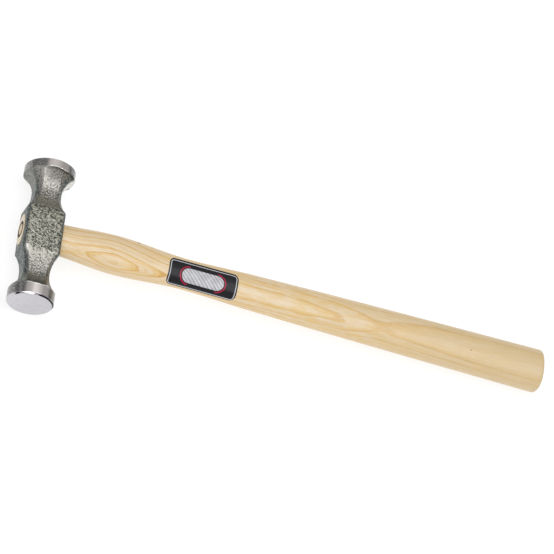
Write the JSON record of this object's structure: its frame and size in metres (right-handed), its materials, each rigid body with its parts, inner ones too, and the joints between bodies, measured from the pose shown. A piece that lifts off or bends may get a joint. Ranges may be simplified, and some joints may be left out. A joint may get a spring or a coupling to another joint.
{
  "type": "planishing hammer",
  "caption": "Light planishing hammer: forged double-faced head with round polished faces, a waisted ash handle and a steel ring wedge.",
  "frame": {"origin": "centre of the flat striking face", "axes": "+Y runs along the head, from the flat face to the crowned one; +X runs along the handle to its butt; +Z comes up square through a cheek"},
  "size_m": [0.3236, 0.0872, 0.0292],
  "materials": {
    "forged_steel": "forged, pitted and lacquered grey-green on the block and necks, ground and polished on the rims and faces",
    "ash": "turned, sanded and clear lacquered to a satin sheen",
    "wedge_steel": "dark, as drawn",
    "label_film": "printed gloss film"
  },
  "bodies": {
    "root": {"head": "forged_steel", "handle": "ash", "ring_wedge": "wedge_steel", "label": "label_film"}
  },
  "joints": []
}
